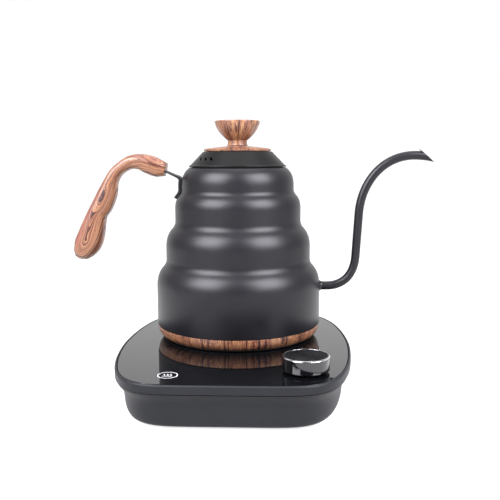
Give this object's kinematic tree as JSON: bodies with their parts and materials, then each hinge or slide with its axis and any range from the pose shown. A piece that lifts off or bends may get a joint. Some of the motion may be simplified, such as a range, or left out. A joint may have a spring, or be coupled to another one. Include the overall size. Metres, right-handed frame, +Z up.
{
  "type": "electric kettle",
  "caption": "Gooseneck electric kettle with a stepped bell-shaped steel body, wood handle and lid knob, on a glass-topped power base with a dial.",
  "frame": {"origin": "on the kettle's vertical axis, in the plane that the base's feet stand on", "axes": "+Z up, +X towards the spout, -Y towards the side with the dial and the touch key"},
  "size_m": [0.317, 0.237, 0.2246],
  "materials": {
    "satin_black": "satin matt charcoal powder coat on steel",
    "lid_black": "satin matt black coat on spun steel",
    "wood_print": "wood with tan, pink-brown and dark brown streaks under satin lacquer",
    "black_glass": "polished black tempered glass",
    "base_plastic": "dark grey moulded plastic, fine satin texture",
    "under_plastic": "black moulded plastic",
    "dial_black": "gloss black",
    "bright_metal": "bright turned chamfer",
    "spun_metal": "dark spun aluminium disc",
    "plain_steel": "plain steel",
    "brass": "plain brass",
    "rubber": "matt black rubber",
    "silicone": "translucent grey silicone",
    "circuit_board": "green coated laminate",
    "part_black": "black moulded plastic",
    "relay_blue": "blue moulded case",
    "winding_tape": "yellow tape round a winding",
    "brown_lead": "brown insulation",
    "blue_lead": "blue insulation",
    "earth_lead": "green and yellow insulation",
    "grey_ribbon": "grey ribbon cable"
  },
  "bodies": {
    "base": {"glass_panel": "black_glass", "top_frame": "base_plastic", "lower_housing": "base_plastic", "bottom_plate": "under_plastic", "foot_1": "rubber", "foot_2": "rubber", "foot_3": "rubber", "foot_4": "rubber", "housing_screw_1": "plain_steel", "housing_screw_2": "plain_steel", "housing_screw_3": "plain_steel", "housing_screw_4": "plain_steel", "base_connector": "part_black", "live_contact": "brass", "neutral_contact": "brass", "connector_pin": "brass", "power_board": "circuit_board", "relay": "relay_blue", "transformer": "winding_tape", "terminal_block": "part_black", "control_board": "circuit_board", "display_module": "part_black", "touch_pad": "plain_steel", "buzzer": "part_black", "encoder_body": "plain_steel", "encoder_nut": "plain_steel", "cord_gland": "rubber", "live_lead": "brown_lead", "neutral_lead": "blue_lead", "earth_lead": "earth_lead", "ribbon_cable": "grey_ribbon"},
    "dial_rotor": {"encoder_rotor": "part_black"},
    "dial": {"knob_shaft": "plain_steel", "knob_body": "dial_black", "knob_trim_ring": "bright_metal", "knob_cap": "spun_metal"},
    "kettle": {"kettle_body": "satin_black", "spout": "satin_black", "vessel_floor": "plain_steel", "heating_element": "plain_steel", "temperature_probe": "plain_steel", "probe_seal": "silicone", "kettle_connector": "part_black", "kettle_bottom_cover": "under_plastic", "cover_screw_1": "plain_steel", "cover_screw_2": "plain_steel", "cover_screw_3": "plain_steel", "base_ring": "wood_print", "handle_strap": "satin_black", "handle_grip": "wood_print", "grip_screw": "plain_steel"},
    "lid": {"lid_shell": "lid_black", "lid_inner_cup": "plain_steel", "lid_seal": "silicone", "lid_disc": "wood_print", "lid_knob": "wood_print", "lid_knob_screw": "plain_steel"}
  },
  "joints": [
    {"name": "dial_turn", "type": "hinge", "parent": "base", "child": "dial_rotor", "pos_m": [0.057, -0.114, 0.0355], "axis": [0, 0, 1], "continuous": true},
    {"name": "dial_press", "type": "slide", "parent": "dial_rotor", "child": "dial", "axis": [0, 0, 1], "range_m": [-0.0012, 0], "stiffness_N_per_m": 600, "springref_m": 0.0015},
    {"name": "kettle_lift", "type": "slide", "parent": "base", "child": "kettle", "axis": [0, 0, 1], "range_m": [0, 0.1]},
    {"name": "lid_lift", "type": "slide", "parent": "kettle", "child": "lid", "axis": [0, 0, 1], "range_m": [0, 0.06]}
  ]
}
